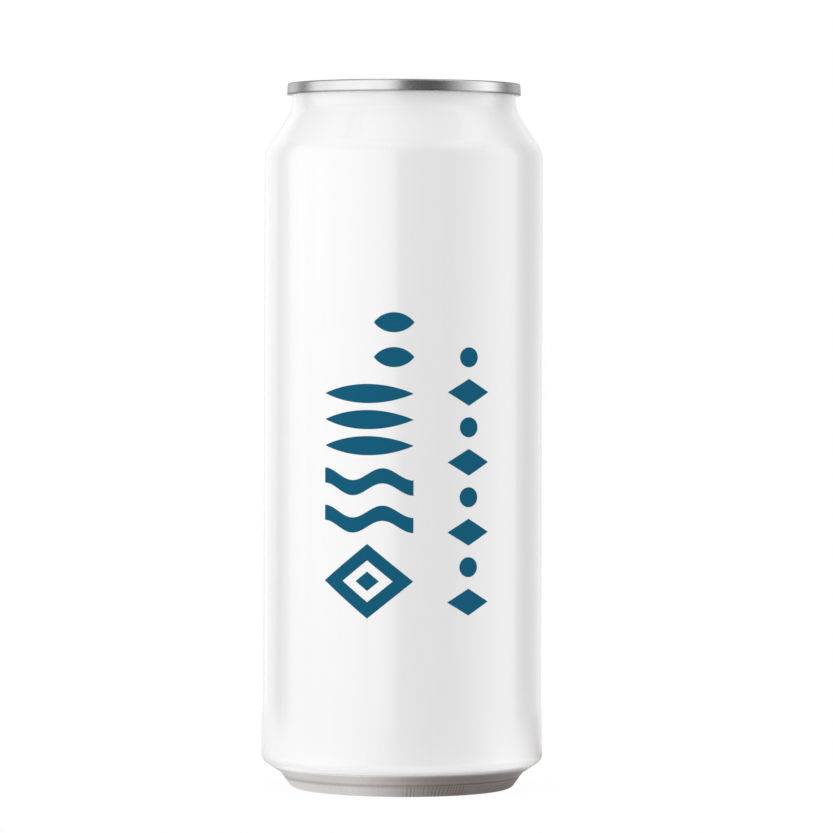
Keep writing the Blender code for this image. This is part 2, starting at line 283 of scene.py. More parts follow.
# Wall strips from here on, behind the can, show only in its gloss
GLOSS_ONLY_FROM_DEG = 140
ROOM_LEVELS = {"Is Camera Ray": 1.0, "Is Diffuse Ray": 0.53, "Is Glossy Ray": 0.07}
FLOOR_RADIUS = 0.25
FLOOR_STEPS = 96
FLOOR_CARD = (0.95, 0.95, 0.95)
FLOOR_WHITE_SHARE = 0.97
FLOOR_GLOW_PEAK = 1.7
FLOOR_GLOW_WARMTH = (0.0, 0.12, 0.16)  # what red, green and blue lose where the glow is weak
FLOOR_WARM_BELOW = 0.6
# At each distance from the can's axis, in millimetres: the glow's share of its peak at these azimuths
FLOOR_GLOW = {
    28.5: (
        (-160, 0.36), (-120, 0.45), (-80, 0.64), (-40, 0.67), (-20, 0.62), (0, 0.39), (12, 0.26),
        (28, 0.18), (90, 0.18), (140, 0.34),
    ),
    35: (
        (-160, 0.3), (-120, 0.4), (-80, 0.5), (-40, 0.76), (0, 0.7), (30, 0.6), (60, 0.74), (90, 0.4),
        (160, 0.28),
    ),
    75: (
        (-160, 0.45), (-120, 0.5), (-80, 0.78), (-40, 0.9), (0, 0.42), (30, 0.52), (60, 0.98), (80, 1.0),
        (120, 0.3),
    ),
    130: (
        (-180, 0.56), (-144, 0.52), (-62, 0.66), (-31, 0.64), (-10, 0.5), (8, 0.22), (36, 0.17), (57, 0.4),
        (77, 0.8), (100, 0.66), (128, 0.24), (145, 0.44), (165, 0.54), (180, 0.56),
    ),
    250: (
        (-180, 0.56), (-144, 0.53), (-62, 0.56), (-31, 0.52), (-10, 0.38), (8, 0.16), (36, 0.12), (57, 0.3),
        (77, 0.6), (100, 0.54), (128, 0.22), (145, 0.44), (165, 0.54), (180, 0.56),
    ),
}

# Camera, from the photograph
CAMERA_DISTANCE = 1.1797
CAMERA_HEIGHT = 0.1138
CAMERA_FOCAL_PX = 4994.0
PHOTO_SIDE_PX = 833
HORIZON_ROW_PX = 305.75
AXIS_COLUMN_PX = 402.9
CAMERA_ROLL_DEG = 0.2
SENSOR_MM = 36.0


def arc(centre, radius, start_deg, end_deg, steps):
    """Points on a circle, as (distance from the axis, height)."""
    points = []
    for i in range(steps + 1):
        angle = math.radians(start_deg + (end_deg - start_deg) * i / steps)
        points.append((centre[0] + radius * math.cos(angle), centre[1] + radius * math.sin(angle)))
    return points


def stretch(start, end, steps):
    """Points after start, up to end, on a straight line."""
    return [
        (start[0] + (end[0] - start[0]) * i / steps, start[1] + (end[1] - start[1]) * i / steps)
        for i in range(1, steps + 1)
    ]


def smooth_step(value):
    """0 up to 0 and 1 from 1 on, smooth between."""
    value = np.clip(value, 0, 1)
    return value * value * (3 - 2 * value)


def mesh_piece(name, points, faces, material, slot, *nodes):
    """A smooth mesh piece on the can; it stands for the CAD nodes that are named."""
    mesh = bpy.data.meshes.new(name)
    mesh.from_pydata(points, [], faces)
    mesh.validate()
    mesh.shade_smooth()
    mesh.set_sharp_from_angle(angle=math.radians(40))
    mesh.materials.append(material)
    piece = bpy.data.objects.new(name, mesh)
    bpy.context.scene.collection.objects.link(piece)
    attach(piece, "root")
    if nodes:
        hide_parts(*nodes)
    return piece


def turned(profile, steps, ripple=None):
    """Points and faces of a closed solid turned round Z; its profile starts and ends on the axis."""
    points = [(0, 0, profile[0][1])]
    faces = []
    angles = [math.tau * i / steps for i in range(steps)]
    for radius, height in profile[1:-1]:
        for angle in angles:
            reach = radius + (ripple(radius, height, angle) if ripple else 0)
            points.append((reach * math.cos(angle), reach * math.sin(angle), height))
    points.append((0, 0, profile[-1][1]))
    rows = len(profile) - 2
    last = len(points) - 1
    for i in range(steps):
        after = (i + 1) % steps
        faces.append((0, 1 + i, 1 + after))
        for row in range(rows - 1):
            upper = 1 + row * steps
            lower = upper + steps
            faces.append((upper + i, lower + i, lower + after, upper + after))
        low = 1 + (rows - 1) * steps
        faces.append((low + i, last, low + after))
    return points, faces


def wall_profile():
    """The coated wall, from the mouth down to the lower edge of its coat, closed inside the can."""
    lean = math.radians(NECK_CONE_DEG)
    neck_top = SEAM_BOTTOM - NECK_ARC_BELOW_SEAM
    drop_in_arcs = 2 * NECK_ARC * math.sin(lean)
    width_in_arcs = 2 * NECK_ARC * (1 - math.cos(lean))
    drop_in_cone = (BODY_RADIUS - NECK_RADIUS - width_in_arcs) / math.tan(lean)
    shoulder = neck_top - drop_in_arcs - drop_in_cone
    rim = SEAM_BOTTOM + RIM_OVERLAP
    points = [(0, LID_BOTTOM - INNER_GAP), (SKIRT_RADIUS + INNER_GAP, LID_BOTTOM - INNER_GAP)]
    points += [(SKIRT_RADIUS + INNER_GAP, rim), (NECK_RADIUS, rim)]
    points += arc((NECK_RADIUS + NECK_ARC, neck_top), NECK_ARC, 180, 180 + NECK_CONE_DEG, 16)
    points += arc((BODY_RADIUS - NECK_ARC, shoulder), NECK_ARC, NECK_CONE_DEG, 0, 16)
    points += stretch(points[-1], (BODY_RADIUS, FLARE_HEIGHTS[0]), 12)
    points += stretch(points[-1], (CORNER_RADIUS, FLARE_HEIGHTS[1]), 4)
    corner = corner_profile()
    coated = [point for point in corner if point[1] > COATING_EDGE + COATING_EDGE_GAP]
    return points + coated + [coat_edge(), (0, INNER_JOIN_HEIGHT)]


def corner_profile():
    """The rounded corner at the foot of the wall and the cone below it."""
    points = arc((CORNER_RADIUS - CORNER_ROUND, CORNER_HEIGHT), CORNER_ROUND, 0, -BASE_CONE_DEG, 16)
    cone = math.radians(BASE_CONE_DEG)
    end = points[-1]
    foot = (end[0] - BASE_CONE_LENGTH * math.sin(cone), end[1] - BASE_CONE_LENGTH * math.cos(cone))
    return points + stretch(end, foot, 8)


def coat_edge():
    """Where the coat ends on the corner's profile."""
    corner = corner_profile()
    above = [point for point in corner if point[1] > COATING_EDGE][-1]
    below = [point for point in corner if point[1] <= COATING_EDGE][0]
    share = (above[1] - COATING_EDGE) / (above[1] - below[1])
    return (above[0] + (below[0] - above[0]) * share, COATING_EDGE)


def base_profile():
    """The bare base, from the coat's edge to the foot, up the inner leg and over the dome."""
    corner = [point for point in corner_profile() if point[1] < COATING_EDGE - COATING_EDGE_GAP]
    points = [(0, INNER_JOIN_HEIGHT), coat_edge()] + corner
    cone = math.radians(BASE_CONE_DEG)
    centre = (
        points[-1][0] + BASE_HOLLOW_ROUND * math.cos(cone),
        points[-1][1] - BASE_HOLLOW_ROUND * math.sin(cone),
    )
    points += arc(centre, BASE_HOLLOW_ROUND, 180 - BASE_CONE_DEG, 180 - BASE_HOLLOW_END_DEG, 4)[1:]
    bead = arc((FOOT_OUTER_RADIUS, BEAD_ROUND), BEAD_ROUND, -BEAD_START_DEG, -90, 12)
    notch = crease(points[-1], bead[0])
    points += notch + stretch(notch[-1], bead[0], 7) + bead[1:]
    foot_inner = arc((FOOT_INNER_RADIUS, FOOT_INNER_ROUND), FOOT_INNER_ROUND, 270, 180, 6)
    return points + foot_inner + dome(foot_inner[-1][0] - LEG_LEAN)


def crease(above, below):
    """The rounded notch that runs round the band, between the hollow and the bead."""
    slope = (above[0] - below[0]) / (above[1] - below[1])
    points = []
    for i in range(9):
        share = i / 4 - 1
        height = CREASE_HEIGHT - share * CREASE_HALF_WIDTH
        depth = CREASE_DEPTH * 0.5 * (1 + math.cos(math.pi * share))
        points.append((below[0] + slope * (height - below[1]) - depth, height))
    return points


def dome(edge_radius):
    """The underside's dome, from the top of the inner leg to the axis."""
    rise = DOME_HEIGHT - DOME_EDGE_HEIGHT
    sphere = (edge_radius**2 + rise**2) / (2 * rise)
    half_angle = math.degrees(math.asin(edge_radius / sphere))
    points = arc((0, DOME_HEIGHT - sphere), sphere, 90 - half_angle, 90, 14)
    points[-1] = (0, DOME_HEIGHT)
    return points


def swell(angle, waves):
    """Sum of sine waves round the can, each (count, phase)."""
    return sum(math.sin(count * angle + phase) for count, phase in waves)


def pucker(radius, height, angle):
    """How far the foot band stands in or out at this place."""
    fade = smooth_step((PUCKER_TOP - height) / PUCKER_TOP_FADE)
    fade *= smooth_step((height - PUCKER_BOTTOM) / PUCKER_BOTTOM_FADE)
    if fade == 0 or radius < FOOT_OUTER_RADIUS:
        return 0
    group = swell(angle, PUCKER_GROUPS) / len(PUCKER_GROUPS)
    share = PUCKER_LEAST_SHARE + PUCKER_GROUP_SHARE * max(group, 0) ** 2
    return -PUCKER_DEPTH * fade * share * (1 + swell(angle, PUCKER_WAVES) / len(PUCKER_WAVES))


def lid_ring_profile():
    """The lid outside its panel: panel edge, countersink, chuck wall, seam, skirt and flat underside."""
    groove_centre = (PANEL_RADIUS + PANEL_WALL_LEAN + COUNTERSINK_ROUND, COUNTERSINK_Z + COUNTERSINK_ROUND)
    seam_top = CAN_HEIGHT - SEAM_ROUND
    points = arc((PANEL_RADIUS - PANEL_EDGE_ROUND, PANEL_Z - PANEL_EDGE_ROUND), PANEL_EDGE_ROUND, 90, 0, 8)
    points += arc(groove_centre, COUNTERSINK_ROUND, 180, 360, 20)
    wall_top = (SEAM_INNER_RADIUS, seam_top)
    points += stretch(points[-1], (SKIRT_RADIUS - 0.5 * MM, SEAM_BOTTOM), 4)
    points += stretch(points[-1], wall_top, 4)[:-1]
    points += arc((SEAM_INNER_RADIUS + SEAM_ROUND, seam_top), SEAM_ROUND, 180, 90, 10)
    outer = arc((SEAM_RADIUS - SEAM_LEAN - SEAM_ROUND, seam_top), SEAM_ROUND, 90, 0, 10)
    if outer[0][0] - points[-1][0] < 0.01 * MM:
        outer = outer[1:]
    points += outer
    foot = arc((SEAM_RADIUS - SEAM_FOOT_ROUND, SEAM_BOTTOM + SEAM_FOOT_ROUND), SEAM_FOOT_ROUND, 6, -90, 10)
    points += stretch(points[-1], foot[0], 5)[:-1] + foot
    return points + [(SKIRT_RADIUS, SEAM_BOTTOM), (SKIRT_RADIUS, LID_BOTTOM), (0, LID_BOTTOM)]


def rivet_profile():
    """The rivet: a dished head with a rolled rim, and the stem that goes down into the lid's field."""
    head_top = TAB_WEB_TOP + RIVET_HEAD_RISE
    head_bottom = TAB_WEB_TOP + RIVET_HEAD_GAP
    rim = RIVET_RIM_ROUND
    points = [(radius * MM, head_top - depth * MM) for radius, depth in RIVET_DISH_MM]
    points += arc((RIVET_HEAD_RADIUS - rim, head_top - rim), rim, 90, -30, 10)
    points += [(RIVET_HEAD_RADIUS - rim, head_bottom), (RIVET_STEM_RADIUS, head_bottom)]
    return points + [(RIVET_STEM_RADIUS, FIELD_Z - RIVET_ROOT), (0, FIELD_Z - RIVET_ROOT)]


def circle_loop(centre, radius, count):
    """Anticlockwise loop round a circle."""
    angles = math.tau * np.arange(count) / count
    return np.stack([centre[0] + radius * np.cos(angles), centre[1] + radius * np.sin(angles)], 1)


def oval_loop(centre, half_size, squareness, count):
    """Closed loop between an ellipse (squareness 2) and a rectangle (a high squareness)."""
    angles = math.tau * np.arange(count) / count
    across, along = np.cos(angles), np.sin(angles)
    x = np.sign(across) * np.abs(across) ** (2 / squareness) * half_size[0]
    y = np.sign(along) * np.abs(along) ** (2 / squareness) * half_size[1]
    return np.stack([centre[0] + x, centre[1] + y], 1)


def egg_loop(front, rear, count):
    """Loop round two circles on the Y axis, each (centre, radius), joined by their outer tangents."""
    lean = math.asin((front[1] - rear[1]) / (rear[0] - front[0]))
    rear_angles = np.linspace(lean, math.pi - lean, count)
    front_angles = np.linspace(math.pi - lean, math.tau + lean, count)
    rear_points = np.stack([rear[1] * np.cos(rear_angles), rear[0] + rear[1] * np.sin(rear_angles)], 1)
    front_points = np.stack([front[1] * np.cos(front_angles), front[0] + front[1] * np.sin(front_angles)], 1)
    return np.concatenate([rear_points, front_points])


def respaced(loop, spacing):
    """The same closed loop with its points this far apart."""
    closed = np.vstack([loop, loop[:1]])
    reach = np.concatenate([[0], np.cumsum(np.linalg.norm(np.diff(closed, axis=0), axis=1))])
    count = max(12, int(round(reach[-1] / spacing)))
    places = np.linspace(0, reach[-1], count, endpoint=False)
    return np.stack([np.interp(places, reach, closed[:, axis]) for axis in (0, 1)], 1)


def offset_loop(loop, distance):
    """The loop moved outwards by this distance; it runs anticlockwise."""
    along = np.roll(loop, -1, axis=0) - np.roll(loop, 1, axis=0)
    along /= np.linalg.norm(along, axis=1)[:, None]
    return loop + distance * np.stack([along[:, 1], -along[:, 0]], 1)


def signed_distance(points, loop):
    """Distance from a smooth anticlockwise loop, negative inside it."""
    start, step = loop, np.roll(loop, -1, axis=0) - loop
    length = (step**2).sum(1)
    found = np.empty(len(points))
    for first in range(0, len(points), 2000):
        part = points[first : first + 2000, None, :] - start[None]
        share = np.clip((part * step).sum(2) / length, 0, 1)
        away = part - share[:, :, None] * step
        distance = np.sqrt((away**2).sum(2))
        nearest = distance.argmin(1)
        rows = np.arange(len(nearest))
        side = step[nearest, 0] * part[rows, nearest, 1] - step[nearest, 1] * part[rows, nearest, 0]
        found[first : first + 2000] = np.where(side > 0, -1, 1) * distance[rows, nearest]
    return found


def angle_window(points, centre, open_deg, fade_deg):
    """1 all round a centre but for the open stretch between two angles, with soft ends."""
    angle = np.degrees(np.arctan2(points[:, 1] - centre[1], points[:, 0] - centre[0])) % 360
    middle = (open_deg[0] + open_deg[1]) / 2
    away = np.abs((angle - middle + 180) % 360 - 180) - (open_deg[1] - open_deg[0]) / 2
    return smooth_step(away / fade_deg)


def groove(distance, width):
    """Cross-section of a groove or bead: 1 on its middle line, 0 beyond its half width."""
    return 1 - smooth_step(np.abs(distance) / width)


def spread(bands, rings, limit, spacing):
    """Points that follow each band of offsets, with a plain grid between, kept inside the limit loop."""
    rows = [
        offset_loop(respaced(loop, along), offset)
        for loop, offsets, along in bands
        for offset in offsets
    ]
    grid_x, grid_y = np.meshgrid(np.arange(-25, 25, spacing), np.arange(-25, 25, spacing * 0.87))
    grid_x[::2] += spacing / 2
    grid = np.stack([grid_x.ravel(), grid_y.ravel()], 1)
    for loop, offsets, along in bands:
        room = max(abs(offsets[0]), abs(offsets[-1])) + spacing * 0.4
        grid = grid[np.abs(signed_distance(grid, respaced(loop, 0.5))) > room]
    points = np.concatenate(rows + [grid])
    points = points[signed_distance(points, limit) < -0.3]
    points = thinned(points, 0.05)
    return np.concatenate([*rings, points])


def thinned(points, least):
    """One point in each cell of this size."""
    cells = np.round(points / least).astype(int)
    first = np.unique(cells, axis=0, return_index=True)[1]
    return points[np.sort(first)]


def triangles(points, loops, keep):
    """Delaunay triangles between these points: each loop's edges kept, and the faces that keep() passes."""
    edges = []
    start = 0
    for count in loops:
        edges += [(start + i, start + (i + 1) % count) for i in range(count)]
        start += count
    made = delaunay_2d_cdt([Vector(point) for point in points], edges, [], 0, 1e-5)
    corners = np.array([tuple(corner) for corner in made[0]])
    faces = np.array(made[2])
    middles = corners[faces].mean(1)
    return corners, faces[keep(middles)]


def compact(points, faces):
    """The points that these faces use, and the faces renumbered to them."""
    used = sorted({i for face in faces for i in face})
    place = {old: new for new, old in enumerate(used)}
    return [points[i] for i in used], [tuple(place[i] for i in face) for face in faces]


def panel_relief(points):
    """Height of the lid's panel above its flat, in millimetres."""
    field = signed_distance(points, respaced(egg_loop(FIELD_FRONT_MM, FIELD_REAR_MM, 60), 0.4))
    tear_loop = respaced(oval_loop(TEAR_CENTRE_MM, TEAR_HALF_MM, 2.0, 160), 0.3)
    tear = signed_distance(points, tear_loop)
    tear_window = angle_window(points, TEAR_CENTRE_MM, TEAR_OPEN_DEG, TEAR_FADE_DEG)
    bead_window = angle_window(points, TEAR_CENTRE_MM, OPENING_BEAD_OPEN_DEG, OPENING_BEAD_FADE_DEG)
    well = np.hypot(*((points - WELL_CENTRE_MM) / WELL_HALF_MM).T)
    height = -FIELD_DEPTH / MM * (1 - smooth_step(field / FIELD_EDGE_MM + 0.5))
    height -= TEAR_DEPTH_MM * tear_window * groove(tear, TEAR_WIDTH_MM)
    height -= INNER_TEAR_DEPTH_MM * tear_window * groove(tear - INNER_TEAR_OFFSET_MM, TEAR_WIDTH_MM)
    bead = groove(tear - OPENING_BEAD_OFFSET_MM, OPENING_BEAD_WIDTH_MM)
    height += OPENING_BEAD_HEIGHT_MM * bead_window * bead
    height -= WELL_DEPTH_MM * (1 - smooth_step(well)) ** WELL_STEEPNESS
    for centre in DIMPLE_CENTRES_MM:
        height += DIMPLE_HEIGHT_MM * groove(np.hypot(*(points - centre).T), DIMPLE_RADIUS_MM)
    return height


def make_lid(material):
    """The lid in one mesh: its turned ring, and its panel with the relief pressed into it."""
    ring = lid_ring_profile()
    edge = circle_loop((0, 0), ring[0][0] / MM, LID_STEPS)
    field_loop = egg_loop(FIELD_FRONT_MM, FIELD_REAR_MM, 60)
    tear_loop = oval_loop(TEAR_CENTRE_MM, TEAR_HALF_MM, 2.0, 160)
    well_loop = oval_loop(WELL_CENTRE_MM, WELL_HALF_MM, 2.0, 80)
    inner = INNER_TEAR_OFFSET_MM
    bead = OPENING_BEAD_OFFSET_MM
    # Bands of points that follow the relief: loop, offsets from it, and spacing along it
    bands = [
        (tear_loop, np.linspace(-0.32, 0.32, 9), 0.4),
        (tear_loop, np.linspace(inner - 0.3, inner + 0.3, 7), 0.4),
        (tear_loop, np.linspace(bead - 0.8, bead + 0.8, 9), 0.5),
        (field_loop, np.linspace(-0.7, 0.7, 9), 0.6),
        (well_loop, np.linspace(-3.2, 0.4, 10), 0.5),
    ]
    bands += [(circle_loop(centre, 0.6, 24), np.linspace(-0.5, 0.7, 7), 0.25) for centre in DIMPLE_CENTRES_MM]
    flat = spread(bands, [edge], edge, 0.7)
    corners, faces = triangles(flat, [len(edge)], lambda middles: np.ones(len(middles), bool))
    heights = PANEL_Z + MM * panel_relief(corners)
    heights[np.hypot(*corners.T) > edge[0][0] - 0.01] = PANEL_Z
    panel = [(x * MM, y * MM, z) for (x, y), z in zip(corners, heights)]
    points, ring_faces = turned([(0, PANEL_Z)] + ring, LID_STEPS)
    rim_of = {i: 1 + i for i in range(LID_STEPS)}
    base = len(points)
    number = [rim_of.get(i, base + i) for i in range(len(panel))]
    made = [face for face in ring_faces if 0 not in face]
    made += [tuple(number[i] for i in face) for face in faces]
    mesh_piece("lid", *compact(points + panel, made), material, "can_end", "can_end")


def tab_loops():
    """The tab's outline, its finger hole and the hole for the rivet's stem."""
    outer = respaced(egg_loop(TAB_NOSE_MM, TAB_HEEL_MM, 60), 0.3)
    hole = respaced(oval_loop(TAB_HOLE_CENTRE_MM, TAB_HOLE_HALF_MM, TAB_HOLE_SQUARENESS, 120), 0.25)
    rivet = circle_loop((0, 0), RIVET_HOLE_RADIUS_MM, 40)
    return outer, hole, rivet


def make_tab(material):
    """The tab in one closed mesh: rolled edges round outline and hole, and a sunken web round the rivet."""
    outer, hole, rivet = tab_loops()
    roll = TAB_CURL_MM * (1 - np.cos(np.radians(np.linspace(12, 90, 8))))
    web = circle_loop((0, 0), TAB_WEB_RADIUS_MM, 80)
    slot = circle_loop((0, 0), TAB_SLOT_RADIUS_MM, 80)
    # Bands as in make_lid
    bands = [
        (outer, -roll, 0.3),
        (hole, roll, 0.25),
        (web, np.linspace(-0.5, 0.5, 8), 0.3),
        (slot, np.linspace(-0.36, 0.36, 7), 0.3),
        (rivet, np.array([0.15, 0.4]), 0.3),
    ]
    flat = spread(bands, [outer, hole, rivet], offset_loop(outer, 0.26), 0.5)
    rings = len(outer) + len(hole) + len(rivet)
    loose = flat[rings:]
    inside = (signed_distance(loose, outer) < -0.008) & (signed_distance(loose, hole) > 0.008)
    flat = np.concatenate([flat[:rings], loose[inside & (signed_distance(loose, rivet) > 0.05)]])
    corners, faces = triangles(flat, [len(outer), len(hole), len(rivet)], tab_covers)
    upper, lower = tab_heights(corners)
    middle = (TAB_TOP + TAB_BOTTOM) / 2
    points = [(x * MM, y * MM, middle + z * MM) for (x, y), z in zip(corners, upper)]
    points += [(x * MM, y * MM, middle + z * MM) for (x, y), z in zip(corners, lower)]
    under = [i if i < len(outer) + len(hole) else i + len(corners) for i in range(len(corners))]
    made = [tuple(face) for face in faces]
    made += [tuple(under[i] for i in face[::-1]) for face in faces]
    first = len(outer) + len(hole)
    for i in range(len(rivet)):
        here, there = first + i, first + (i + 1) % len(rivet)
        made.append((here, there, under[there], under[here]))
    mesh_piece("tab", *compact(points, made), material, "pull_tab", "pull_tab")


def tab_covers(middles):
    """Whether each point lies on the tab and in none of its holes."""
    outer, hole, rivet = tab_loops()
    inside = signed_distance(middles, outer) < 0
    return inside & (signed_distance(middles, hole) > 0) & (signed_distance(middles, rivet) > 0)


def tab_heights(points):
    """Upper and lower surface of the tab about its middle plane, in millimetres."""
    outer, hole, _ = tab_loops()
    edge = np.minimum(-signed_distance(points, outer), signed_distance(points, hole))
    edge = np.clip(edge, 0, None)
    half = TAB_CURL_MM
    curl = half * np.sqrt(1 - (1 - np.clip(edge / half, 0, 1)) ** 2)
    hollow = TAB_HOLLOW_MM * smooth_step((edge - half) / 0.5)
    web_edge = np.hypot(*points.T) - TAB_WEB_RADIUS_MM
    web = 1 - smooth_step(web_edge / TAB_WEB_EDGE_MM + 0.5)
    slot = np.hypot(*points.T) - TAB_SLOT_RADIUS_MM
    window = angle_window(points, (0, 0), TAB_SLOT_OPEN_DEG, TAB_SLOT_FADE_DEG)
    upper = curl - hollow * (1 - web) - web * TAB_WEB_SINK / MM
    upper -= TAB_SLOT_DEPTH_MM * window * groove(slot, TAB_SLOT_WIDTH_MM)
    return upper, -curl


def lens_loop(centre, half_size):
    """Loop round the overlap of two discs, pointed at both ends."""
    radius = (half_size[0] ** 2 + half_size[1] ** 2) / (2 * half_size[1])
    reach = math.asin(half_size[0] / radius)
    angles = np.linspace(-reach, reach, 40)
    lower = np.stack([radius * np.sin(angles), radius - half_size[1] - radius * np.cos(angles)], 1)
    return np.concatenate([lower, -lower[1:-1]]) + centre


def diamond_loop(centre, half_size):
    """Loop round a diamond that stands on its corner."""
    corners = np.array([(1, 0), (0, 1), (-1, 0), (0, -1)]) * half_size
    sides = [np.linspace(corners[i], corners[(i + 1) % 4], 20, endpoint=False) for i in range(4)]
    return np.concatenate(sides) + centre


def wave_loop(centre, half_width):
    """Loop round a wavy band."""
    across = np.linspace(-half_width, half_width, 60)
    crest = WAVE_SWING * np.sin(1.5 * math.pi * across / half_width)
    lower = np.stack([across, crest - WAVE_STROKE / 2], 1)
    upper = np.stack([across, crest + WAVE_STROKE / 2], 1)[::-1]
    return np.concatenate([lower, upper]) + centre


def within(points, loops):
    """Whether each point lies inside these loops taken together."""
    inside = np.zeros(len(points), bool)
    x, y = points[:, :1], points[:, 1:]
    for loop in loops:
        start, end = loop.T, np.roll(loop, -1, axis=0).T
        spans = (start[1] > y) != (end[1] > y)
        rise = np.where(end[1] == start[1], 1, end[1] - start[1])
        meets = start[0] + (y - start[1]) / rise * (end[0] - start[0])
        inside ^= (spans & (x < meets)).sum(1) % 2 == 1
    return inside


def print_shapes():
    """Two upright columns of plain shapes, each a list of loops: an outline and the hole in it."""
    low, middle, high = [(LARGE_COLUMN_U, v) for v in LARGE_SHAPES_V]
    half = np.array(LARGE_HALF_MM)
    shapes = [
        [diamond_loop(low, half), diamond_loop(low, half * RING_HOLE_SHARE)],
        [diamond_loop(low, half * RING_CORE_SHARE)],
    ]
    for rise in (-WAVE_RISE, WAVE_RISE):
        shapes.append([wave_loop((middle[0], middle[1] + rise), half[0])])
    for rise in (-LEAF_PITCH, 0, LEAF_PITCH):
        shapes.append([lens_loop((high[0], high[1] + rise), (half[0], LEAF_HALF_HEIGHT))])
    shapes += [[lens_loop((SMALL_PAIR_U, height), SMALL_HALF_MM)] for height in SMALL_PAIR_V]
    pitch = (MARKS_V[1] - MARKS_V[0]) / MARKS_COUNT
    for i in range(MARKS_COUNT):
        centre = (MARKS_U, MARKS_V[0] + pitch * (i + 0.5))
        mark = circle_loop(centre, MARK_DISC_RADIUS, 48) if i % 2 else diamond_loop(centre, MARK_HALF_MM)
        shapes.append([mark])
    return shapes


def make_print(material):
    """The printed shapes as one thin layer of ink on the wall."""
    reach = BODY_RADIUS + INK_RISE
    points, faces = [], []
    for loops in print_shapes():
        edges = np.concatenate(loops)
        low, high = edges.min(0), edges.max(0)
        axes = [np.arange(low[i], high[i], INK_SPACING) for i in (0, 1)]
        grid = np.stack(np.meshgrid(*axes), -1).reshape(-1, 2)
        gap = np.linalg.norm(grid[:, None] - edges[None], axis=2).min(1)
        grid = grid[within(grid, loops) & (gap > INK_SPACING / 2)]
        flat = np.concatenate([edges, grid])
        corners, made = triangles(flat, [len(loop) for loop in loops], lambda middles: within(middles, loops))
        faces += [tuple(int(i) + len(points) for i in face) for face in made]
        turns = corners[:, 0] * MM / reach
        points += [(reach * math.sin(t), -reach * math.cos(t), v * MM) for t, v in zip(turns, corners[:, 1])]
    mesh_piece("print", points, faces, material, "can_body")


class Graph:
    """Builds a material's nodes so that its code reads as a formula."""

    def __init__(self, name):
        self.material = bpy.data.materials.new(name)
        self.material.use_nodes = True
        self.tree = self.material.node_tree
        self.shader = self.tree.nodes["Principled BSDF"]

    def node(self, kind, **settings):
        made = self.tree.nodes.new(kind)
        for key, value in settings.items():
            setattr(made, key, value)
        return made

    def feed(self, socket, value):
        if isinstance(value, bpy.types.NodeSocket):
            self.tree.links.new(value, socket)
        else:
            socket.default_value = value

    def math(self, operation, *values):
        made = self.node("ShaderNodeMath", operation=operation)
        for socket, value in zip(made.inputs, values):
            self.feed(socket, value)
        return made.outputs[0]

    def place(self):
        """The point on the can, in millimetres, as its three coordinates."""
        where = self.node("ShaderNodeTexCoord").outputs["Object"]
        parts = self.node("ShaderNodeSeparateXYZ")
        self.feed(parts.inputs[0], where)
        return [self.math("MULTIPLY", part, 1 / MM) for part in parts.outputs]

    def vector(self, x, y, z):
        made = self.node("ShaderNodeCombineXYZ")
        for socket, value in zip(made.inputs, (x, y, z)):
            self.feed(socket, value)
        return made.outputs[0]

    def noise(self, vector, scale, detail=2.0):
        made = self.node("ShaderNodeTexNoise")
        self.feed(made.inputs["Vector"], vector)
        made.inputs["Scale"].default_value = scale
        made.inputs["Detail"].default_value = detail
        return made.outputs[0]

    def ramp(self, value, start, end):
        """0 up to start and 1 from end on, smooth between; end may be the lower of the two."""
        made = self.node("ShaderNodeMapRange", interpolation_type="SMOOTHSTEP")
        self.feed(made.inputs["Value"], value)
        made.inputs["From Min"].default_value = min(start, end)
        made.inputs["From Max"].default_value = max(start, end)
        made.inputs["To Min"].default_value = float(start > end)
        made.inputs["To Max"].default_value = float(start < end)
        return made.outputs[0]

    def remap(self, value, low, high):
        """Noise around a half, spread between two values."""
        made = self.node("ShaderNodeMapRange")
        self.feed(made.inputs["Value"], value)
        made.inputs["From Min"].default_value = 0.3
        made.inputs["From Max"].default_value = 0.7
        made.inputs["To Min"].default_value = low
        made.inputs["To Max"].default_value = high
        return made.outputs[0]

    def blend(self, share, first, second):
        """A mix of two colours, each a socket or its red, green and blue."""
        made = self.node("ShaderNodeMix", data_type="RGBA")
        self.feed(made.inputs[0], share)
        for number, colour in ((6, first), (7, second)):
            self.feed(made.inputs[number], (*colour, 1) if isinstance(colour, tuple) else colour)
        return made.outputs[2]

    def bump(self, height, distance):
        made = self.node("ShaderNodeBump")
        made.inputs["Strength"].default_value = 1.0
        made.inputs["Distance"].default_value = distance
        self.feed(made.inputs["Height"], height)
        self.feed(self.shader.inputs["Normal"], made.outputs[0])

    def azimuth(self, x, y):
        """Angle round the can from its front, to the right."""
        return self.math("ARCTAN2", x, self.math("MULTIPLY", y, -1.0))

    def reach(self, x, y):
        """Distance from the can's axis."""
        return self.math("SQRT", self.math("ADD", self.math("MULTIPLY", x, x), self.math("MULTIPLY", y, y)))

    def streaks(self, across, along, per_mm, detail=2.0):
        """Noise with long thin cells: so many of them in a millimetre across, and along."""
        across, along = [self.math("MULTIPLY", value, count) for value, count in zip((across, along), per_mm)]
        return self.noise(self.vector(across, 0.0, along), 1.0, detail)

    def swell(self, angle, waves):
        """The same sum of sine waves as the mesh has."""
        total = 0.0
        for count, phase in waves:
            wave = self.math("SINE", self.math("MULTIPLY_ADD", angle, count, phase))
            total = self.math("ADD", total, wave)
        return total


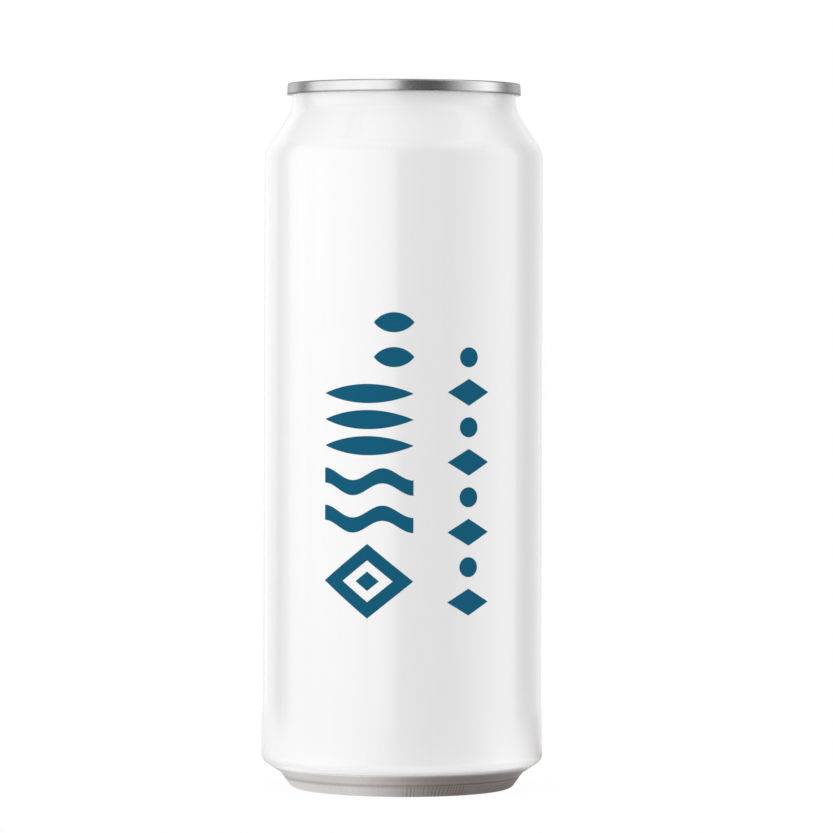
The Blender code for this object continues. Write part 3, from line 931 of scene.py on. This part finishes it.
def white_coat():
    """White enamel under a clear varnish: faint drawing streaks, fine orange peel, and a thinned lower edge."""
    graph = Graph("white_coat")
    x, y, z = graph.place()
    round_can = graph.math("MULTIPLY", graph.azimuth(x, y), BODY_RADIUS / MM)
    streaks = graph.streaks(round_can, z, COAT_STREAKS_PER_MM)
    peel = graph.noise(graph.vector(x, y, z), COAT_PEEL_PER_MM, 3.0)
    white = graph.blend(graph.remap(streaks, 0.0, 1.0), COAT_WHITE_DARK, COAT_WHITE)
    thin = graph.ramp(z, COATING_EDGE / MM + COAT_THIN_MM, COATING_EDGE / MM)
    graph.feed(graph.shader.inputs["Base Color"], graph.blend(thin, white, COAT_THIN))
    graph.feed(graph.shader.inputs["Roughness"], graph.remap(peel, *COAT_ROUGHNESS))
    graph.shader.inputs["Specular IOR Level"].default_value = 1.0
    graph.shader.inputs["Coat Weight"].default_value = 1.0
    graph.shader.inputs["Coat Roughness"].default_value = VARNISH_ROUGHNESS
    graph.shader.inputs["Coat IOR"].default_value = VARNISH_IOR
    graph.bump(graph.math("ADD", peel, graph.math("MULTIPLY", streaks, COAT_STREAK_SHARE)), COAT_PEEL_DEPTH)
    return graph.material


def teal_ink():
    """Flat printing ink with a faint unevenness."""
    graph = Graph("teal_ink")
    x, y, z = graph.place()
    mottle = graph.noise(graph.vector(x, y, z), INK_MOTTLE_PER_MM, 3.0)
    light = tuple(c * INK_LIGHT for c in INK)
    graph.feed(graph.shader.inputs["Base Color"], graph.blend(graph.remap(mottle, 0.0, 1.0), INK, light))
    graph.feed(graph.shader.inputs["Roughness"], graph.remap(mottle, *INK_ROUGHNESS))
    graph.shader.inputs["Specular IOR Level"].default_value = 0.0
    return graph.material


def drawn_metal():
    """Foot aluminium: upright streaks, painted shade in puckers and crease, a brighter lower band, coat dust at
    top.
    """
    graph = Graph("base_metal")
    x, y, z = graph.place()
    round_can = graph.math("MULTIPLY", graph.azimuth(x, y), FOOT_OUTER_RADIUS / MM)
    streaks = graph.streaks(round_can, z, BASE_STREAKS_PER_MM, detail=4.0)
    cloud = graph.noise(graph.vector(x, y, z), BASE_CLOUDS_PER_MM)
    metal = graph.blend(graph.remap(streaks, 0.0, 1.0), BASE_METAL_DARK, BASE_METAL)
    band = graph.ramp(z, *BAND_TOP_MM)
    # The band below the crease, painted a little brighter
    metal = graph.blend(band, metal, graph.blend(BAND_PAINTED_LIFT, metal, (1, 1, 1)))
    # Painted shade in the puckers' valleys
    angle = graph.math("ARCTAN2", y, x)
    wave = graph.ramp(graph.swell(angle, PUCKER_WAVES), *PUCKER_PAINTED_SHADE_WAVE)
    group = graph.ramp(graph.swell(angle, PUCKER_GROUPS), *PUCKER_PAINTED_SHADE_GROUP)
    pucker_shade = graph.math("MULTIPLY", graph.math("MULTIPLY", wave, group), band)
    metal = graph.blend(graph.math("MULTIPLY", pucker_shade, PUCKER_PAINTED_SHADE), metal, PUCKER_PAINTED_SHADE_COLOUR)
    # Painted shade along the crease
    away = graph.math("ABSOLUTE", graph.math("SUBTRACT", z, CREASE_HEIGHT / MM))
    crease_shade = graph.math("MULTIPLY", graph.ramp(away, CREASE_PAINTED_SHADE_MM, 0.0), CREASE_PAINTED_SHADE)
    metal = graph.blend(crease_shade, metal, CREASE_PAINTED_SHADE_COLOUR)
    dust = graph.ramp(z, COATING_EDGE / MM - COAT_DUST_MM, COATING_EDGE / MM)
    dusty = graph.blend(graph.math("MULTIPLY", dust, COAT_DUST_SHARE), metal, COAT_DUST)
    graph.feed(graph.shader.inputs["Base Color"], dusty)
    graph.feed(graph.shader.inputs["Roughness"], graph.remap(cloud, *BASE_ROUGHNESS))
    graph.shader.inputs["Metallic"].default_value = 1.0
    graph.bump(streaks, BASE_STREAK_DEPTH)
    return graph.material


def rolled_metal(name, colour, roughness, across):
    """Sheet aluminium under clear lacquer: its rolling grain runs along Y, or along X where across is set.

    The outer edges of the seam carry painted shade.
    """
    graph = Graph(name)
    x, y, z = graph.place()
    # Masks for the painted shade on the seam's outer edges
    outside = graph.ramp(graph.reach(x, y), *SEAM_OUTSIDE_MM)
    edges = graph.math("MAXIMUM", graph.ramp(z, *SEAM_TOP_EDGE_MM), graph.ramp(z, *SEAM_LOW_EDGE_MM))
    if across:
        x, y = y, x
    scaled = [graph.math("MULTIPLY", value, count) for value, count in zip((x, y), SHEET_GRAIN_PER_MM)]
    grain = graph.noise(graph.vector(*scaled, z), 1.0, 4.0)
    cloud = graph.noise(graph.vector(x, y, z), SHEET_CLOUDS_PER_MM)
    dark = tuple(c * SHEET_GRAIN_SHADE for c in colour)
    sheet = graph.blend(graph.remap(grain, 0.0, 1.0), dark, colour)
    shade = graph.math("MULTIPLY", graph.math("MULTIPLY", outside, edges), SEAM_EDGE_PAINTED_SHADE)
    graph.feed(graph.shader.inputs["Base Color"], graph.blend(shade, sheet, SEAM_EDGE_PAINTED_SHADE_COLOUR))
    low, high = [roughness * share for share in SHEET_CLOUD_SHARES]
    graph.feed(graph.shader.inputs["Roughness"], graph.remap(cloud, low, high))
    graph.shader.inputs["Metallic"].default_value = 1.0
    graph.shader.inputs["Specular Tint"].default_value = (*SHEET_GRAZING_TINT, 1)
    graph.bump(grain, SHEET_GRAIN_DEPTH)
    return graph.material


def make_can():
    """The can's six pieces."""
    lid_metal = rolled_metal("lid_metal", LID_METAL, LID_ROUGHNESS, False)
    points, faces = turned(wall_profile(), BODY_STEPS)
    mesh_piece("coated_wall", points, faces, white_coat(), "can_body", "can_body")
    make_print(teal_ink())
    points, faces = turned(base_profile(), BASE_STEPS, pucker)
    mesh_piece("bare_base", points, faces, drawn_metal(), "can_body", "can_body")
    make_lid(lid_metal)
    points, faces = turned(rivet_profile(), RIVET_STEPS)
    mesh_piece("rivet", points, faces, lid_metal, "can_end", "can_end")
    make_tab(rolled_metal("tab_metal", TAB_METAL, TAB_ROUGHNESS, True))


def make_floor():
    """A plain pale floor: white to the camera, card for soft light, and a glow for the can's gloss."""
    turns = [math.tau * i / FLOOR_STEPS for i in range(FLOOR_STEPS)]
    mesh = bpy.data.meshes.new("floor")
    rim = [(FLOOR_RADIUS * math.cos(turn), FLOOR_RADIUS * math.sin(turn), 0) for turn in turns]
    mesh.from_pydata(rim, [], [tuple(range(FLOOR_STEPS))])
    floor = bpy.data.objects.new("floor", mesh)
    bpy.context.scene.collection.objects.link(floor)
    graph = Graph("pale_floor")
    graph.tree.nodes.remove(graph.shader)
    ray = graph.node("ShaderNodeLightPath")
    card = graph.node("ShaderNodeBsdfDiffuse")
    card.inputs["Color"].default_value = (*FLOOR_CARD, 1)
    white = graph.node("ShaderNodeEmission")
    plain = graph.node("ShaderNodeMixShader")
    graph.feed(plain.inputs[0], graph.math("MULTIPLY", ray.outputs["Is Camera Ray"], FLOOR_WHITE_SHARE))
    graph.feed(plain.inputs[1], card.outputs[0])
    graph.feed(plain.inputs[2], white.outputs[0])
    glow = graph.node("ShaderNodeEmission")
    graph.feed(glow.inputs["Color"], floor_glow(graph))
    graph.feed(glow.inputs["Strength"], graph.math("MULTIPLY", ray.outputs["Is Glossy Ray"], FLOOR_GLOW_PEAK))
    seen = graph.node("ShaderNodeMixShader")
    graph.feed(seen.inputs[0], ray.outputs["Is Glossy Ray"])
    graph.feed(seen.inputs[1], plain.outputs[0])
    graph.feed(seen.inputs[2], glow.outputs[0])
    graph.feed(graph.tree.nodes["Material Output"].inputs["Surface"], seen.outputs[0])
    mesh.materials.append(graph.material)


def floor_glow(graph):
    """Colour of the glow: a curve over the azimuth at each distance, one blending into the next."""
    x, y, _ = graph.place()
    place = graph.math("ADD", graph.math("DIVIDE", graph.azimuth(x, y), math.tau), 0.5)
    away = graph.reach(x, y)
    level, before = None, 0
    for distance, levels in FLOOR_GLOW.items():
        curve = azimuth_curve(graph, place, levels)
        level = graph.blend(graph.ramp(away, before, distance), level, curve) if level else curve
        before = distance
    return level


def azimuth_curve(graph, place, levels):
    """Levels at these azimuths, smooth between; place runs from 0 at -180 degrees to 1 at 180."""
    curve = graph.node("ShaderNodeValToRGB")
    graph.feed(curve.inputs[0], place)
    curve.color_ramp.interpolation = "CARDINAL"
    while len(curve.color_ramp.elements) < len(levels):
        curve.color_ramp.elements.new(0.5)
    for stop, (azimuth, strength) in zip(curve.color_ramp.elements, levels):
        stop.position = azimuth / 360 + 0.5
        weak = max(0, 1 - strength / FLOOR_WARM_BELOW)
        stop.color = (*(strength * (1 - warm * weak) for warm in FLOOR_GLOW_WARMTH), 1)
    return curve.outputs[0]


def make_lights():
    """Rings of soft strips round the can."""
    middle = Vector((0, 0, LIGHTS_HEIGHT))
    for ring, (elevation, pitch, width, length, levels) in LIGHT_RINGS.items():
        azimuths, powers = zip(*levels)
        for azimuth in range(-180, 180, pitch):
            power = float(np.interp(azimuth, azimuths, powers))
            if power < LEAST_POWER:
                continue
            light = bpy.data.lights.new(f"{ring}_{azimuth}", "AREA")
            light.shape = "RECTANGLE"
            light.size = width
            light.size_y = length
            light.energy = power
            lamp = bpy.data.objects.new(light.name, light)
            turn, climb = math.radians(azimuth), math.radians(elevation)
            flat = math.cos(climb)
            out = Vector((math.sin(turn) * flat, -math.cos(turn) * flat, math.sin(climb)))
            lamp.location = middle + out * LIGHTS_DISTANCE
            lamp.rotation_euler = (-out).to_track_quat("-Z", "Y").to_euler()
            lamp.visible_camera = False
            lamp.visible_diffuse = ring != "wall" or abs(azimuth) < GLOSS_ONLY_FROM_DEG
            bpy.context.scene.collection.objects.link(lamp)


def make_room():
    """An even room, with a level of its own for what the camera, soft light and gloss see of it."""
    world = bpy.data.worlds.new("studio")
    world.use_nodes = True
    bpy.context.scene.world = world
    tree = world.node_tree
    tree.nodes.clear()
    room = tree.nodes.new("ShaderNodeBackground")
    room.inputs["Color"].default_value = (1, 1, 1, 1)
    ray = tree.nodes.new("ShaderNodeLightPath")
    strength = None
    for kind, level in ROOM_LEVELS.items():
        step = tree.nodes.new("ShaderNodeMath")
        step.operation = "MULTIPLY_ADD"
        tree.links.new(ray.outputs[kind], step.inputs[0])
        step.inputs[1].default_value = level
        step.inputs[2].default_value = 0
        if strength:
            tree.links.new(strength, step.inputs[2])
        strength = step.outputs[0]
    tree.links.new(strength, room.inputs["Strength"])
    out = tree.nodes.new("ShaderNodeOutputWorld")
    tree.links.new(room.outputs[0], out.inputs[0])


def make_camera():
    """A long lens level with the upper third of the can, turned down a little to frame it whole."""
    lens_data = bpy.data.cameras.new("camera")
    lens_data.sensor_width = SENSOR_MM
    lens_data.lens = CAMERA_FOCAL_PX * SENSOR_MM / PHOTO_SIDE_PX
    lens_data.clip_start = 0.05
    camera = bpy.data.objects.new("camera", lens_data)
    middle = PHOTO_SIDE_PX / 2
    per_metre = CAMERA_FOCAL_PX / CAMERA_DISTANCE
    camera.location = (0, -CAMERA_DISTANCE, CAMERA_HEIGHT)
    right = (middle - AXIS_COLUMN_PX) / per_metre
    down = (middle - HORIZON_ROW_PX) / per_metre
    aim = Vector((right, 0, CAMERA_HEIGHT - down))
    camera.rotation_mode = "QUATERNION"
    facing = (aim - camera.location).to_track_quat("-Z", "Y")
    camera.rotation_quaternion = facing
    camera.rotation_mode = "XYZ"
    camera.rotation_euler.rotate_axis("Z", math.radians(CAMERA_ROLL_DEG))
    bpy.context.scene.collection.objects.link(camera)
    bpy.context.scene.camera = camera
    bpy.context.scene.view_settings.view_transform = "Standard"


make_camera()
make_lights()
make_room()
make_floor()
make_can()
bpy.context.view_layer.update()
